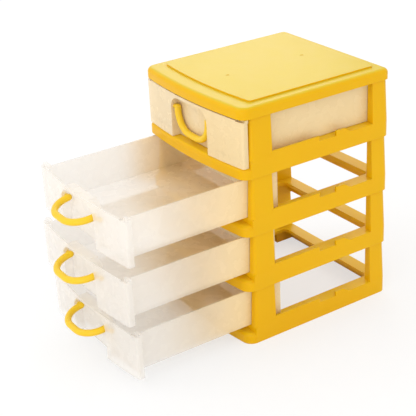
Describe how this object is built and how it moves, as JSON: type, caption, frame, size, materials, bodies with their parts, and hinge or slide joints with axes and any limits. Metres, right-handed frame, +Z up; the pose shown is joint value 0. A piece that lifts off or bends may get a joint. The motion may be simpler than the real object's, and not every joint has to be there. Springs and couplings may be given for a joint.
{
  "type": "desktop mini drawers",
  "caption": "Small desktop tower of stacking plastic tiers with a cover and translucent slide-out drawers with bail handles, for craft bits and small parts.",
  "frame": {"origin": "on the table, on the tower's centre plane, midway between the front and rear posts", "axes": "+Z up, +Y to the rear, the drawers slide out towards -Y, +X to the right when the rear is away from the viewer"},
  "size_m": [0.125, 0.2488, 0.1852],
  "materials": {
    "frame_plastic": "glossy opaque warm yellow",
    "drawer_plastic": "milky translucent, softly glossy",
    "handle_plastic": "glossy opaque warm yellow"
  },
  "bodies": {
    "tower": {"top_cover": "frame_plastic", "tier_frame_1": "frame_plastic", "tier_frame_2": "frame_plastic", "tier_frame_3": "frame_plastic", "tier_frame_4": "frame_plastic"},
    "drawer_body_1": {"drawer_1": "drawer_plastic"},
    "handle_body_1": {"handle_1": "handle_plastic"},
    "drawer_body_2": {"drawer_2": "drawer_plastic"},
    "handle_body_2": {"handle_2": "handle_plastic"},
    "drawer_body_3": {"drawer_3": "drawer_plastic"},
    "handle_body_3": {"handle_3": "handle_plastic"},
    "drawer_body_4": {"drawer_4": "drawer_plastic"},
    "handle_body_4": {"handle_4": "handle_plastic"}
  },
  "joints": [
    {"name": "drawer_1_slide", "type": "slide", "parent": "tower", "child": "drawer_body_1", "axis": [0, -1, 0], "range_m": [-0.0938, 0.0112]},
    {"name": "drawer_2_slide", "type": "slide", "parent": "tower", "child": "drawer_body_2", "axis": [0, -1, 0], "range_m": [-0.0978, 0.0072]},
    {"name": "drawer_3_slide", "type": "slide", "parent": "tower", "child": "drawer_body_3", "axis": [0, -1, 0], "range_m": [-0.0944, 0.0106]},
    {"name": "drawer_4_slide", "type": "slide", "parent": "tower", "child": "drawer_body_4", "axis": [0, -1, 0], "range_m": [0, 0.105]},
    {"name": "handle_1_hinge", "type": "hinge", "parent": "drawer_body_1", "child": "handle_body_1", "pos_m": [0, -0.1632, 0.0313], "axis": [-1, 0, 0], "range_deg": [-80, 45]},
    {"name": "handle_2_hinge", "type": "hinge", "parent": "drawer_body_2", "child": "handle_body_2", "pos_m": [0, -0.1672, 0.0753], "axis": [-1, 0, 0], "range_deg": [-80, 45]},
    {"name": "handle_3_hinge", "type": "hinge", "parent": "drawer_body_3", "child": "handle_body_3", "pos_m": [0, -0.1638, 0.1193], "axis": [-1, 0, 0], "range_deg": [-80, 45]},
    {"name": "handle_4_hinge", "type": "hinge", "parent": "drawer_body_4", "child": "handle_body_4", "pos_m": [0, -0.0694, 0.1633], "axis": [-1, 0, 0], "range_deg": [0, 125]}
  ]
}
